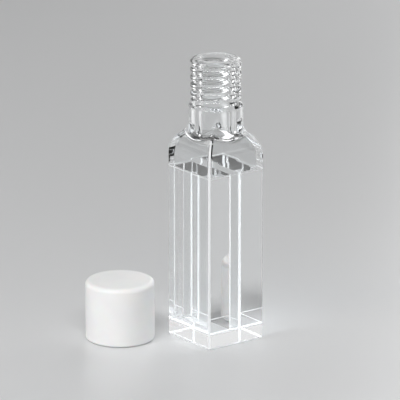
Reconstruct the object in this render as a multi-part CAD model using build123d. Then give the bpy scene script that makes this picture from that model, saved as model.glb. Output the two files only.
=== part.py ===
"""Quartz cuvette with a screw neck: a square cell around a narrow slot chamber, with its
white screw cap set down beside it on the open end, and the sealing disc in the cap's roof."""

import os
from math import sqrt

from build123d import *

# Square cell: outside width, end windows, and the slot chamber on its solid floor
cell_side = 12.5
window_wall = 1.25
slot_width = 2.0
floor_thickness = 2.8
slot_height = 29.6

# Ground flats on the upright edges and round the base
upright_flat_leg = 0.3
base_flat_leg = 0.2

# Hollow shoulder, from the top of the slot to the crown that carries the neck
shoulder_height = 7.9
shoulder_wall = 1.25
shoulder_rounding = 5.4
neck_blend = 2.3
bore_blend = 1.0
bore_flare = 0.3

# Round neck: a collar set in from the cell's faces, then a slimmer core for the thread
neck_inset = 1.27
neck_wall = 2.4
collar_height = 3.6
collar_step = 0.73
collar_step_height = 1.15
threaded_height = 7.9
lip_rounding = 0.4
mouth_flat_leg = 0.3

# Right-hand thread of the neck: a ridge with sloping flanks, its widths given as shares of the pitch
thread_pitch = 1.5
thread_depth = 0.4
thread_crest_share = 0.3
thread_foot_share = 0.82
thread_start_drop = 1.14
thread_clearance = 0.2

# The ridge is rooted in the core by this share of its depth
thread_root_share = 0.25

# Screw cap, standing beside the cell
cap_wall = 1.5
cap_roof = 1.5
cap_height = 11.15
cap_crown_rounding = 0.9
cap_foot_flat_leg = 0.4
cap_mouth_flare = 0.5
cap_gap = 2.0
cap_shift = 9.7

# Sealing disc under the cap's roof
disc_thickness = 1.0
disc_clearance = 0.1
disc_edge_flat_leg = 0.15

# Cutting tools run past the glass by this much
overrun = 0.1

# Heights and radii that follow
chamber_length = cell_side - 2 * window_wall
slot_top = floor_thickness + slot_height
crown = slot_top + shoulder_height
collar_top = crown + collar_height
core_foot = collar_top + collar_step_height
rim = core_foot + threaded_height
collar_radius = cell_side / 2 - neck_inset
core_radius = collar_radius - collar_step
crest_radius = core_radius + thread_depth
bore_radius = collar_radius - neck_wall
cap_bore_radius = crest_radius + thread_clearance
cap_radius = cap_bore_radius + cap_wall
cap_ceiling = cap_height - cap_roof
vault_rounding = shoulder_rounding - shoulder_wall


def turned(outline):
    """Solid of revolution about the upright axis from a half outline in radius and height."""
    return revolve(Plane.XZ * make_face(outline), Axis.Z)


def square_to_round(side, foot, top, rounding, stem, blend):
    """Square block with rounded top edges that flows into a round stem."""
    block = Pos(0, 0, foot) * extrude(Rectangle(side, side), top - foot)
    block = fillet(block.edges().group_by(Axis.Z)[-1], rounding)
    whole = block + stem
    return fillet(new_edges(block, stem, combined=whole), blend)


def thread_ridge():
    """Right-hand ridge round the neck, from inside the collar to just below the lip."""
    foot_half = thread_foot_share * thread_pitch / 2
    crest_half = thread_crest_share * thread_pitch / 2
    root_half = foot_half + thread_root_share * (foot_half - crest_half)
    root_depth = thread_root_share * thread_depth
    start = collar_top - thread_start_drop
    path = Helix(thread_pitch, rim - lip_rounding - root_half - start, core_radius, center=(0, 0, start))
    section_plane = Plane(path @ 0, x_dir=(1, 0, 0), z_dir=path % 0)
    crest = [(thread_depth, -crest_half), (thread_depth, crest_half)]
    section = Polyline((-root_depth, -root_half), *crest, (-root_depth, root_half), close=True)
    return sweep(section_plane * make_face(section), path=path, is_frenet=True)


def neck_stem():
    """Neck: collar, a tapered step in to the core, a rounded lip, and the thread round the core."""
    lip_foot = (core_radius, rim - lip_rounding)
    lip_top = (core_radius - lip_rounding, rim)
    outline = Polyline((0, rim), (0, slot_top), (collar_radius, slot_top), (collar_radius, collar_top))
    outline += Polyline((collar_radius, collar_top), (core_radius, core_foot), lip_foot)
    outline += RadiusArc(lip_foot, lip_top, -lip_rounding)
    outline += Line(lip_top, (0, rim))
    return turned(outline) + thread_ridge()


def bore_stem():
    """Hollow of the neck, with an eased mouth, widening a little from the crown down into the shoulder."""
    mouth_radius = bore_radius + mouth_flat_leg
    outline = Polyline(
        (0, rim + overrun),
        (0, slot_top),
        (bore_radius + bore_flare, slot_top),
        (bore_radius, crown),
        (bore_radius, rim - mouth_flat_leg),
        (mouth_radius, rim),
        (mouth_radius, rim + overrun),
        close=True,
    )
    return turned(outline)


def quartz_cell():
    """Clear cell in one fused piece: slot chamber, hollow shoulder, and a neck with its thread."""
    glass = square_to_round(cell_side, 0, crown, shoulder_rounding, neck_stem(), neck_blend)
    vault = crown - shoulder_wall
    hollow = square_to_round(chamber_length, slot_top, vault, vault_rounding, bore_stem(), bore_blend)
    slot_depth = slot_height + overrun
    slot = Pos(0, 0, floor_thickness) * extrude(Rectangle(slot_width, chamber_length), slot_depth)
    across_flats = (cell_side - upright_flat_leg) * sqrt(2)
    upright_flats = extrude(Rot(0, 0, 45) * Rectangle(across_flats, across_flats), rim + overrun)
    glass = (glass - hollow - slot) & upright_flats
    return chamfer(glass.edges().group_by(Axis.Z)[0], base_flat_leg)


def screw_cap():
    """Plain round cap, open below, with a flared mouth and a rounded crown."""
    crown_side = (cap_radius, cap_height - cap_crown_rounding)
    crown_edge = (cap_radius - cap_crown_rounding, cap_height)
    outline = Polyline(
        (0, cap_height),
        (0, cap_ceiling),
        (cap_bore_radius, cap_ceiling),
        (cap_bore_radius, cap_mouth_flare),
        (cap_bore_radius + cap_mouth_flare, 0),
        (cap_radius - cap_foot_flat_leg, 0),
        (cap_radius, cap_foot_flat_leg),
        crown_side,
    )
    outline += RadiusArc(crown_side, crown_edge, -cap_crown_rounding)
    outline += Line(crown_edge, (0, cap_height))
    return turned(outline)


def sealing_disc():
    """Soft round liner against the ceiling of the cap."""
    disc = extrude(Circle(cap_bore_radius - disc_clearance), disc_thickness)
    disc = chamfer(disc.edges().filter_by(GeomType.CIRCLE), disc_edge_flat_leg)
    return Pos(0, 0, cap_ceiling - disc_thickness) * disc


cap_place = Pos(-(cell_side / 2 + cap_gap + cap_radius), cap_shift, 0)
pieces = {
    "quartz_cell": quartz_cell(),
    "screw_cap": cap_place * screw_cap(),
    "sealing_disc": cap_place * sealing_disc(),
}
os.makedirs("parts", exist_ok=True)
for name, shape in pieces.items():
    export_step(shape, f"parts/{name}.step")
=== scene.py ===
"""Looks of the screw-neck cuvette: clear polished quartz with ground edges and fused seams, a rounded
thread on the neck, and a white moulded cap with a thread inside, on a plain pale floor."""

from math import atan2, cos, pi, radians, sin, sqrt

import bmesh
import bpy
import numpy as np
from mathutils import Matrix, Vector


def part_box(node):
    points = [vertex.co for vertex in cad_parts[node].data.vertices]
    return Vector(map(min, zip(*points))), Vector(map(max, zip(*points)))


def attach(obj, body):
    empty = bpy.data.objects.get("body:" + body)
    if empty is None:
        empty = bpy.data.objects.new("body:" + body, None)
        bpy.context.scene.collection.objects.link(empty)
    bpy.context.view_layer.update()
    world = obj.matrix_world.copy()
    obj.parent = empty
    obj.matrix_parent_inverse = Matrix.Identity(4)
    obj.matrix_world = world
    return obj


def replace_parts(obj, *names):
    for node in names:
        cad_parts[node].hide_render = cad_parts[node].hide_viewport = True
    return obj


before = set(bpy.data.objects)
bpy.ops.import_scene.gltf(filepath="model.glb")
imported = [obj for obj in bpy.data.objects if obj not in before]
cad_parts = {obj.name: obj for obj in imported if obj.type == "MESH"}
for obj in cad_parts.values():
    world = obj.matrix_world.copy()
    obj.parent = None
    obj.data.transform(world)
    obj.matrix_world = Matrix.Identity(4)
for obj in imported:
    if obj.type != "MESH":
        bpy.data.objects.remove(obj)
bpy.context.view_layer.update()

# Lengths are in millimetres until a mesh, lamp or camera is placed
millimetre = 0.001

# Glass body, as in the solids
upright_flat_leg = 0.3
base_flat_leg = 0.2
window_wall = 1.25
slot_width = 2.0
floor_thickness = 2.8
slot_height = 29.6
shoulder_height = 7.9
shoulder_wall = 1.25
shoulder_rounding = 5.4
neck_blend = 2.3
bore_blend = 1.0
bore_flare = 0.3
neck_inset = 1.27
neck_wall = 2.4
collar_height = 3.6
collar_step = 0.73
collar_step_height = 1.15

# Rounded thread of the neck, and the rounding of its lip and mouth
thread_pitch = 1.5
thread_depth = 0.4
thread_width = 1.36
thread_start_drop = 1.14
thread_softness = 0.06
lip_rounding = 1.05
lip_overhang = 0.1
mouth_rounding = 0.3

# Fused seams: two hairline grooves round the outside, and a small flat in each corner of the slot
base_seam_width = 0.14
base_seam_depth = 0.04
block_seam_width = 0.09
block_seam_depth = 0.025
slot_corner_leg = 0.22

# Moulded cap
cap_wall = 1.5
cap_roof = 1.5
cap_crown_rounding = 0.9
cap_foot_rounding = 0.5
cap_mouth_flare = 0.5
cap_thread_depth = 0.35
cap_thread_width = 0.9
cap_thread_foot = 1.9
cap_thread_turns = 3.0
cap_thread_fade_turns = 0.25

# A flat wall keeps its own shading up to this far from a curve
curve_margin = 0.05

# Search for the angle at which a stem's blend leaves the rounding of its shoulder
slope_step = 0.0005
halvings = 40

# Mesh fineness
glass_columns = 192
cap_columns = 160
bend_steps = 24
thread_steps = 28
column_spacing_share = 0.25
angle_digits = 9
weld_distance = 0.00002
sharp_edge_angle = radians(26)

# Finishes of the glass, in the order of its materials
polished = 0
ground = 1

# A noise is given by its features per metre and its detail, and its values lie mostly in this range
noise_range = (0.3, 0.7)

# Polished quartz, with a faint waviness where the shoulder and neck were worked in a flame
quartz_colour = (0.985, 0.993, 0.996, 1)
quartz_shadow_colour = (0.92, 0.93, 0.94, 1)
quartz_refraction = 1.46
wave_noise = (260, 2)
wave_stretch = (1, 1, 0.4)
wave_strength = 0.06
wave_depth = 0.05

# Fine-ground quartz of the edges and seams
ground_colour = (0.93, 0.95, 0.96, 1)
ground_clearness = 0.2
ground_sheen_noise = (5200, 3)
ground_roughness = (0.34, 0.52)
ground_grain_noise = (14000, 2)
ground_grain_strength = 0.25
ground_grain_depth = 0.01

# White plastic of the cap
plastic_tones = ((0.86, 0.86, 0.86, 1), (0.9, 0.9, 0.89, 1))
plastic_refraction = 1.49
plastic_glow = 0.12
plastic_glow_depth = 1.0
plastic_tone_noise = (180, 3)
plastic_sheen_noise = (900, 3)
plastic_roughness = (0.36, 0.46)
plastic_grain_noise = (6000, 3)
plastic_grain_strength = 0.18
plastic_grain_depth = 0.02

# Pale rubber of the sealing disc
rubber_tones = ((0.74, 0.72, 0.67, 1), (0.8, 0.78, 0.73, 1))
rubber_tone_noise = (700, 4)
rubber_sheen_noise = (2500, 2)
rubber_roughness = (0.55, 0.7)
rubber_grain_noise = (4000, 3)
rubber_grain_strength = 0.2
rubber_grain_depth = 0.02

# Floor, with a film of air between it and the glass
floor_half = 3000.0
floor_drop = 0.03
floor_colour = (0.72, 0.725, 0.73, 1)
floor_roughness = 0.32

# Soft lamps: place, width, height, and power in watts
lamp_aim = (-4, 0, 25)
strip_size = (90, 420)
lamps = {
    "key": ((-320, -220, 420), 640, 90, 2.75),
    "left_strip": ((-330, 60, 160), *strip_size, 0.24),
    "right_strip": ((260, 200, 170), *strip_size, 0.24),
    "back_left_strip": ((-170, 420, 170), *strip_size, 0.34),
    "back_right_strip": ((450, 60, 170), *strip_size, 0.34),
}

# Surroundings: their brightness by height on a dome, from 0 at the horizon to 1 overhead
horizon_level = 0.7
ring_level = 0.8
dim_level = 0.03
dome_stops = [
    (0.05, horizon_level),
    (0.1, dim_level),
    (0.23, dim_level),
    (0.26, ring_level),
    (0.33, ring_level),
    (0.36, dim_level),
]

# Camera: angles in degrees, and an aim given by a height on the cell's axis and shifts across the view
camera_azimuth = -37.02
camera_elevation = 17.18
camera_distance = 1000.0
camera_lens = 494.1
camera_sensor = 36.0
camera_aim_height = 27.0
camera_aim_right = -2.869
camera_aim_up = -0.959

# Boxes of the solids, and the heights and radii that follow
cell_low, cell_high = (np.array(corner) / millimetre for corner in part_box("quartz_cell"))
cap_low, cap_high = (np.array(corner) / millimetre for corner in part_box("screw_cap"))
half_side = (cell_high[0] - cell_low[0]) / 2
rim = cell_high[2]
slot_half = slot_width / 2
chamber_half = half_side - window_wall
slot_top = floor_thickness + slot_height
crown = slot_top + shoulder_height
collar_top = crown + collar_height
collar_radius = half_side - neck_inset
core_radius = collar_radius - collar_step
bore_radius = collar_radius - neck_wall
vault_top = crown - shoulder_wall
vault_rounding = shoulder_rounding - shoulder_wall
vault_stem = bore_radius + bore_flare * shoulder_wall / shoulder_height
cap_radius = (cap_high[0] - cap_low[0]) / 2
cap_bore_radius = cap_radius - cap_wall
cap_height = cap_high[2]
cap_ceiling = cap_height - cap_roof
cap_centre = (cap_low + cap_high) / 2

# Angles from the X axis to the first edge of the body's corner flat, and to both edges of the slot's
body_flat_angle = atan2(half_side - upright_flat_leg, half_side)
slot_flat_angles = (
    atan2(chamber_half - slot_corner_leg, slot_half),
    atan2(chamber_half, slot_half - slot_corner_leg),
)


def even_angles(count):
    """Angles of evenly spaced columns round the axis."""
    return np.arange(count) * 2 * pi / count


def glass_angles():
    """Columns for the glass: even ones, and one on each upright edge of the outside and the slot."""
    quarter = [body_flat_angle, pi / 4, pi / 2 - body_flat_angle, *slot_flat_angles]
    half_turn = quarter + [pi - angle for angle in quarter]
    edges = np.array(half_turn + [angle + pi for angle in half_turn])
    even = even_angles(glass_columns)
    room = column_spacing_share * 2 * pi / glass_columns
    clear = np.abs(even[:, None] - edges[None, :]).min(axis=1) > room
    return np.unique(np.round(np.concatenate([even[clear], edges]), angle_digits))


def cut_square_reach(angles, half, corner_leg):
    """Distance from the axis to a square outline with its corners cut, at each angle."""
    across, along = np.abs(np.cos(angles)), np.abs(np.sin(angles))
    return np.minimum(half / np.maximum(across, along), (2 * half - corner_leg) / (across + along))


def body_reach(angles, inset):
    """Distance from the axis to the body's walls and edge flats, all set in by the same depth."""
    return cut_square_reach(angles, half_side - inset, upright_flat_leg - (2 - sqrt(2)) * inset)


def slot_reach(angles):
    """Distance from the axis to the slot's outline, with the small flats in its corners."""
    across, along = np.abs(np.cos(angles)), np.abs(np.sin(angles))
    with np.errstate(divide="ignore"):
        walls = np.minimum(slot_half / across, chamber_half / along)
    return np.minimum(walls, (slot_half + chamber_half - slot_corner_leg) / (across + along))


def wall_finishes(angles):
    """Finish of each column, on the body and in the slot: ground on the corner flats, polished between."""
    following = np.append(angles[1:], angles[0] + 2 * pi)
    middle = (angles + following) / 2
    across, along = np.abs(np.cos(middle)), np.abs(np.sin(middle))
    body_tilt = np.arctan2(np.maximum(across, along), np.minimum(across, along))
    body = np.where(body_tilt < pi / 2 - body_flat_angle, ground, polished)
    slot_tilt = np.arctan2(along, across)
    low_tilt, high_tilt = slot_flat_angles
    slot = np.where((slot_tilt > low_tilt) & (slot_tilt < high_tilt), ground, polished)
    return body, slot


def rounded_edge(middle_radius, middle_height, rounding, begin, end, steps):
    """Radii and heights along a rounded edge, turned from one angle to another about its middle."""
    turns = np.linspace(begin, end, steps + 1)
    return [(middle_radius + rounding * cos(turn), middle_height + rounding * sin(turn)) for turn in turns]


def shoulder_rows(angles, half, top, rounding, corner_leg, stem, blend):
    """Rows of a square shoulder that rounds over, its cut corners narrowing, into a round stem."""
    bend_middle = half - rounding
    bend_height = top - rounding

    def on_rounding(turn):
        reach = bend_middle + rounding * np.cos(turn)
        outline = cut_square_reach(angles, reach, corner_leg * reach / half)
        return outline, bend_height + rounding * np.sin(turn)

    def facing(turn):
        low_radius, low_height = on_rounding(turn - slope_step)
        high_radius, high_height = on_rounding(turn + slope_step)
        out, up = high_height - low_height, low_radius - high_radius
        length = np.hypot(out, up)
        return out / length, up / length

    low, high = np.zeros_like(angles), np.full_like(angles, pi / 2)
    for _ in range(halvings):
        middle = (low + high) / 2
        beyond = on_rounding(middle)[0] + blend * facing(middle)[0] > stem + blend
        low, high = np.where(beyond, middle, low), np.where(beyond, high, middle)
    shares = np.linspace(0, 1, bend_steps + 1)
    rows = [on_rounding(low * share) for share in shares]
    out, up = facing(low)
    blend_height = rows[-1][1] + blend * up
    lean_begin = np.arctan2(-up, -out)
    for share in shares[1:]:
        lean = lean_begin - (pi + lean_begin) * share
        rows.append((stem + blend + blend * np.cos(lean), blend_height + blend * np.sin(lean)))
    return rows


def ridge_height(distance, width, depth):
    """Height of a round-backed ridge at a distance along the axis from its crest, soft at its foot."""
    half = width / 2
    back = (half**2 + depth**2) / (2 * depth)
    bump = np.sqrt(np.maximum(back**2 - distance**2, 0)) - (back - depth)
    share = np.clip((bump / thread_softness + 1) / 2, 0, 1)
    return bump * share + thread_softness * share * (1 - share)


def crest_distance(angles, height, foot):
    """Distance along the axis from a height to the nearest turn of a right-hand helix."""
    rise = height - foot - thread_pitch * angles / (2 * pi)
    return (rise + thread_pitch / 2) % thread_pitch - thread_pitch / 2


def neck_radius(angles, height):
    """Outside of the neck: collar, soft step, core and thread."""
    step = np.clip((height - collar_top) / collar_step_height, 0, 1)
    plain = core_radius + collar_step * (1 + cos(pi * step)) / 2
    distance = crest_distance(angles, height, collar_top - thread_start_drop)
    return np.maximum(plain, core_radius + ridge_height(distance, thread_width, thread_depth))


def body_bands(angles, walls):
    """Rows of the outside from the ground edge of the base, past the seams, to the foot of the collar."""
    outside = body_reach(angles, 0)
    bands = [(body_reach(angles, base_flat_leg), 0, ground), (outside, base_flat_leg, walls)]
    seams = [
        (floor_thickness, base_seam_width, base_seam_depth),
        (slot_top, block_seam_width, block_seam_depth),
    ]
    for height, width, depth in seams:
        bands.append((outside, height - width / 2, ground))
        bands.append((body_reach(angles, depth), height, ground))
        bands.append((outside, height + width / 2, walls))
    bands.append((outside, crown - shoulder_rounding - curve_margin, walls))
    shoulder = shoulder_rows(
        angles, half_side, crown, shoulder_rounding, upright_flat_leg, collar_radius, neck_blend
    )
    bands.extend((radii, heights, walls) for radii, heights in shoulder[:bend_steps])
    bands.extend((radii, heights, polished) for radii, heights in shoulder[bend_steps:])
    bands.append((collar_radius, shoulder[-1][1].max() + curve_margin, polished))
    return bands


def neck_bands(angles):
    """Rows of the neck from the top of the collar, up the thread and over the lip."""
    neck_foot = collar_top - curve_margin
    lip_foot = rim - lip_rounding
    levels = round((lip_foot - neck_foot) / thread_pitch * thread_steps)
    heights = np.linspace(neck_foot, lip_foot, levels + 1)
    bands = [(neck_radius(angles, height), height, polished) for height in heights]
    lip_middle = core_radius + thread_depth + lip_overhang - lip_rounding
    for lip, height in rounded_edge(lip_middle, lip_foot, lip_rounding, 0, pi / 2, thread_steps)[1:]:
        bands.append((np.minimum(neck_radius(angles, height), lip), height, polished))
    return bands


def inside_bands(angles, slot_walls):
    """Rows of the inside from the mouth, down the bore and the hollow shoulder, to the slot's floor."""
    mouth = rounded_edge(
        bore_radius + mouth_rounding, rim - mouth_rounding, mouth_rounding, pi / 2, pi, bend_steps
    )
    hollow = cut_square_reach(angles, chamber_half, 0)
    vault = shoulder_rows(angles, chamber_half, vault_top, vault_rounding, 0, vault_stem, bore_blend)
    slot = slot_reach(angles)
    rows = [
        *mouth,
        (bore_radius, rim - mouth_rounding - curve_margin),
        (bore_radius, crown + curve_margin),
        (bore_radius, crown),
        *reversed(vault),
        (hollow, vault_top - vault_rounding - curve_margin),
        (hollow, slot_top),
    ]
    bands = [(radii, heights, polished) for radii, heights in rows]
    return [*bands, (slot, slot_top, slot_walls), (slot, floor_thickness, polished)]


def glass_bands(angles):
    """Rows of the glass from the middle of the base, up the outside, over the lip and down the inside."""
    walls, slot_walls = wall_finishes(angles)
    return body_bands(angles, walls) + neck_bands(angles) + inside_bands(angles, slot_walls)


def cap_thread_rows(angles):
    """Rows of the cap's threaded inside, downwards; the ridge fades in and out at its ends."""
    top = cap_thread_foot + thread_pitch * (cap_thread_turns + 1)
    foot = cap_thread_foot - thread_pitch / 2
    levels = round((top - foot) / thread_pitch * thread_steps)
    rows = []
    for height in np.linspace(top, foot, levels + 1):
        distance = crest_distance(angles, height, cap_thread_foot)
        turns_in = (height - distance - cap_thread_foot) / thread_pitch
        fade_in = np.clip(turns_in / cap_thread_fade_turns, 0, 1)
        fade_out = np.clip((cap_thread_turns - turns_in) / cap_thread_fade_turns, 0, 1)
        bump = ridge_height(distance, cap_thread_width, cap_thread_depth) * fade_in * fade_out
        rows.append((cap_bore_radius - bump, height))
    return rows


def cap_bands(angles):
    """Rows of the cap from the middle of its ceiling, down its threaded inside and up the outside."""
    plastic = 0
    foot_middle = cap_radius - cap_foot_rounding
    crown_middle = cap_radius - cap_crown_rounding
    crown_foot = cap_height - cap_crown_rounding
    rows = [
        (cap_bore_radius, cap_ceiling),
        *cap_thread_rows(angles),
        (cap_bore_radius, cap_mouth_flare),
        (cap_bore_radius + cap_mouth_flare, 0),
        *rounded_edge(foot_middle, cap_foot_rounding, cap_foot_rounding, -pi / 2, 0, bend_steps),
        (cap_radius, cap_foot_rounding + curve_margin),
        (cap_radius, crown_foot - curve_margin),
        *rounded_edge(crown_middle, crown_foot, cap_crown_rounding, 0, pi / 2, bend_steps),
        (crown_middle - curve_margin, cap_height),
    ]
    return [(radii, heights, plastic) for radii, heights in rows]


def skin_points(angles, bands, first_pole, last_pole):
    """Points of a skin: its first pole, its rows round the axis, and its last pole."""
    columns = len(angles)
    directions = np.stack([np.cos(angles), np.sin(angles)], axis=1)
    points = [(0, 0, first_pole)]
    for radii, heights, _ in bands:
        spread = np.broadcast_to(np.asarray(radii, float), columns)[:, None] * directions
        lifted = np.broadcast_to(np.asarray(heights, float), columns)
        points.extend(np.column_stack([spread, lifted]).tolist())
    points.append((0, 0, last_pole))
    return np.array(points) * millimetre


def skin_faces(columns, bands):
    """Faces of a skin with their finishes: fans of the first finish at its poles, bands between its rows."""
    pairs = [(column, (column + 1) % columns) for column in range(columns)]
    faces = [(0, 1 + after, 1 + column) for column, after in pairs]
    finishes = [0] * columns
    for row, (_, _, finish) in enumerate(bands[:-1]):
        low = 1 + row * columns
        high = low + columns
        faces.extend((low + column, low + after, high + after, high + column) for column, after in pairs)
        finishes.extend(np.broadcast_to(finish, columns).tolist())
    last_row = 1 + (len(bands) - 1) * columns
    last_pole = last_row + columns
    faces.extend((last_row + column, last_row + after, last_pole) for column, after in pairs)
    finishes.extend([0] * columns)
    return faces, finishes


def make_piece(name, angles, bands, first_pole, last_pole):
    """Closed piece from rows of points round an axis, shaded smooth apart from its sharp edges."""
    faces, finishes = skin_faces(len(angles), bands)
    mesh = bpy.data.meshes.new(name)
    mesh.from_pydata(skin_points(angles, bands, first_pole, last_pole).tolist(), [], faces)
    mesh.polygons.foreach_set("material_index", finishes)
    work = bmesh.new()
    work.from_mesh(mesh)
    weld = weld_distance * millimetre
    bmesh.ops.remove_doubles(work, verts=work.verts, dist=weld)
    bmesh.ops.dissolve_degenerate(work, edges=work.edges, dist=weld)
    work.to_mesh(mesh)
    work.free()
    mesh.shade_smooth()
    mesh.set_sharp_from_angle(angle=sharp_edge_angle)
    piece = bpy.data.objects.new(name, mesh)
    bpy.context.scene.collection.objects.link(piece)
    return piece


def new_material(name):
    """Material with its node tree and its main shader."""
    material = bpy.data.materials.new(name)
    material.use_nodes = True
    tree = material.node_tree
    return material, tree, tree.nodes["Principled BSDF"]


def set_inputs(node, **values):
    """Sets a node's sockets by name, with underscores for spaces."""
    for name, value in values.items():
        node.inputs[name.replace("_", " ")].default_value = value


def noise(tree, kind, stretch=(1, 1, 1)):
    """Noise in the object's own coordinates, which can be drawn out along an axis."""
    scale, detail = kind
    place = tree.nodes.new("ShaderNodeTexCoord")
    mapping = tree.nodes.new("ShaderNodeMapping")
    set_inputs(mapping, Scale=stretch)
    texture = tree.nodes.new("ShaderNodeTexNoise")
    set_inputs(texture, Scale=scale, Detail=detail)
    tree.links.new(place.outputs["Object"], mapping.inputs["Vector"])
    tree.links.new(mapping.outputs["Vector"], texture.inputs["Vector"])
    return texture.outputs["Fac"]


def remap(tree, source, given, wanted):
    """Clamped map of a value from a given range to the wanted one."""
    node = tree.nodes.new("ShaderNodeMapRange")
    set_inputs(node, From_Min=given[0], From_Max=given[1], To_Min=wanted[0], To_Max=wanted[1])
    tree.links.new(source, node.inputs["Value"])
    return node.outputs["Result"]


def rise_with_height(tree, low, high, value):
    """Number that rises from zero to a value between two heights on the object."""
    place = tree.nodes.new("ShaderNodeTexCoord")
    split = tree.nodes.new("ShaderNodeSeparateXYZ")
    tree.links.new(place.outputs["Object"], split.inputs["Vector"])
    return remap(tree, split.outputs["Z"], (low * millimetre, high * millimetre), (0, value))


def mottle(tree, shader, tones, kind):
    """Colour that wanders between two tones."""
    tone = tree.nodes.new("ShaderNodeMix")
    tone.data_type = "RGBA"
    tone.inputs["A"].default_value, tone.inputs["B"].default_value = tones
    tree.links.new(remap(tree, noise(tree, kind), noise_range, (0, 1)), tone.inputs["Factor"])
    tree.links.new(tone.outputs["Result"], shader.inputs["Base Color"])


def vary_roughness(tree, shader, kind, roughness):
    """Roughness that wanders over a range."""
    tree.links.new(remap(tree, noise(tree, kind), noise_range, roughness), shader.inputs["Roughness"])


def add_bump(tree, shader, source, strength, depth):
    """Bump on the shader from a height, its depth in millimetres."""
    bump = tree.nodes.new("ShaderNodeBump")
    set_inputs(bump, Strength=strength, Distance=depth * millimetre)
    tree.links.new(source, bump.inputs["Height"])
    tree.links.new(bump.outputs["Normal"], shader.inputs["Normal"])
    return bump


def polished_quartz():
    """Clear fused quartz: flat windows below, a faint waviness above, and a light shadow."""
    material, tree, shader = new_material("polished_quartz")
    set_inputs(shader, Base_Color=quartz_colour, Roughness=0, IOR=quartz_refraction, Transmission_Weight=1)
    bump = add_bump(tree, shader, noise(tree, wave_noise, wave_stretch), wave_strength, wave_depth)
    tree.links.new(rise_with_height(tree, slot_top, crown, wave_strength), bump.inputs["Strength"])
    path = tree.nodes.new("ShaderNodeLightPath")
    clear = tree.nodes.new("ShaderNodeBsdfTransparent")
    set_inputs(clear, Color=quartz_shadow_colour)
    either = tree.nodes.new("ShaderNodeMixShader")
    choice, seen, shadow = either.inputs
    tree.links.new(path.outputs["Is Shadow Ray"], choice)
    tree.links.new(shader.outputs["BSDF"], seen)
    tree.links.new(clear.outputs["BSDF"], shadow)
    tree.links.new(either.outputs["Shader"], tree.nodes["Material Output"].inputs["Surface"])
    return material


def ground_quartz():
    """Fine-ground edges and fused seams: pale, satin and only a little clear."""
    material, tree, shader = new_material("ground_quartz")
    set_inputs(shader, Base_Color=ground_colour, IOR=quartz_refraction, Transmission_Weight=ground_clearness)
    vary_roughness(tree, shader, ground_sheen_noise, ground_roughness)
    add_bump(tree, shader, noise(tree, ground_grain_noise), ground_grain_strength, ground_grain_depth)
    return material


def cap_plastic():
    """White moulded plastic: satin, with a fine moulded grain and a faint unevenness of tone."""
    material, tree, shader = new_material("cap_plastic")
    set_inputs(shader, IOR=plastic_refraction, Subsurface_Weight=plastic_glow)
    set_inputs(shader, Subsurface_Scale=plastic_glow_depth * millimetre)
    mottle(tree, shader, plastic_tones, plastic_tone_noise)
    vary_roughness(tree, shader, plastic_sheen_noise, plastic_roughness)
    add_bump(tree, shader, noise(tree, plastic_grain_noise), plastic_grain_strength, plastic_grain_depth)
    return material


def silicone():
    """Pale sealing rubber, matt and slightly uneven in tone."""
    material, tree, shader = new_material("seal_silicone")
    mottle(tree, shader, rubber_tones, rubber_tone_noise)
    vary_roughness(tree, shader, rubber_sheen_noise, rubber_roughness)
    add_bump(tree, shader, noise(tree, rubber_grain_noise), rubber_grain_strength, rubber_grain_depth)
    return material


def add_floor():
    """Wide pale floor just below the object."""
    half = floor_half * millimetre
    mesh = bpy.data.meshes.new("floor")
    corners = [(-half, -half, 0), (half, -half, 0), (half, half, 0), (-half, half, 0)]
    mesh.from_pydata(corners, [], [(0, 1, 2, 3)])
    piece = bpy.data.objects.new("floor", mesh)
    piece.location.z = -floor_drop * millimetre
    bpy.context.scene.collection.objects.link(piece)
    material, _, shader = new_material("floor_paint")
    set_inputs(shader, Base_Color=floor_colour, Roughness=floor_roughness)
    mesh.materials.append(material)


def add_lamp(name, place, width, height, power):
    """Soft rectangular lamp that points at the object."""
    data = bpy.data.lights.new(name, "AREA")
    data.shape = "RECTANGLE"
    data.size = width * millimetre
    data.size_y = height * millimetre
    data.energy = power
    lamp = bpy.data.objects.new(name, data)
    lamp.location = Vector(place) * millimetre
    lamp.rotation_euler = (Vector(lamp_aim) - Vector(place)).to_track_quat("-Z", "Y").to_euler()
    bpy.context.scene.collection.objects.link(lamp)


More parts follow.
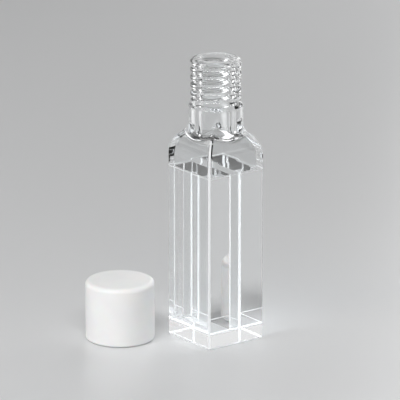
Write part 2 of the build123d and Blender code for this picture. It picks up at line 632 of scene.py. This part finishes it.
def add_world():
    """Studio all round: a pale horizon and a ring of light, dim between and above, to draw the glass."""
    world = bpy.data.worlds.new("studio")
    world.use_nodes = True
    tree = world.node_tree
    place = tree.nodes.new("ShaderNodeTexCoord")
    split = tree.nodes.new("ShaderNodeSeparateXYZ")
    ramp = tree.nodes.new("ShaderNodeValToRGB")
    for height, _ in dome_stops[1:-1]:
        ramp.color_ramp.elements.new(height)
    for stop, (height, level) in zip(ramp.color_ramp.elements, dome_stops):
        stop.position = height
        stop.color = (level, level, level, 1)
    tree.links.new(place.outputs["Generated"], split.inputs["Vector"])
    tree.links.new(split.outputs["Z"], ramp.inputs["Fac"])
    tree.links.new(ramp.outputs["Color"], tree.nodes["Background"].inputs["Color"])
    bpy.context.scene.world = world


def add_camera():
    """Camera with a long lens, slightly above the object."""
    turn, tilt = radians(camera_azimuth), radians(camera_elevation)
    back = Vector((sin(turn) * cos(tilt), -cos(turn) * cos(tilt), sin(tilt)))
    right = Vector((cos(turn), sin(turn), 0))
    up = back.cross(right)
    aim = Vector((0, 0, camera_aim_height)) + right * camera_aim_right + up * camera_aim_up
    data = bpy.data.cameras.new("camera")
    data.sensor_width = camera_sensor
    data.lens = camera_lens
    camera = bpy.data.objects.new("camera", data)
    turned = Matrix((right, up, back)).transposed().to_4x4()
    camera.matrix_world = Matrix.Translation((aim + back * camera_distance) * millimetre) @ turned
    bpy.context.scene.collection.objects.link(camera)
    bpy.context.scene.camera = camera


angles = glass_angles()
glass = make_piece("quartz_cell_skin", angles, glass_bands(angles), 0, floor_thickness)
glass.data.materials.append(polished_quartz())
glass.data.materials.append(ground_quartz())
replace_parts(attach(glass, "root"), "quartz_cell")

angles = even_angles(cap_columns)
cap = make_piece("screw_cap_skin", angles, cap_bands(angles), cap_ceiling, cap_height)
cap.location = Vector((cap_centre[0], cap_centre[1], 0)) * millimetre
cap.data.materials.append(cap_plastic())
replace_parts(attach(cap, "root"), "screw_cap")

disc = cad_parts["sealing_disc"]
disc.data.materials.clear()
disc.data.materials.append(silicone())

add_floor()
for name, lamp in lamps.items():
    add_lamp(name, *lamp)
add_world()
bpy.context.scene.view_settings.view_transform = "Standard"
add_camera()
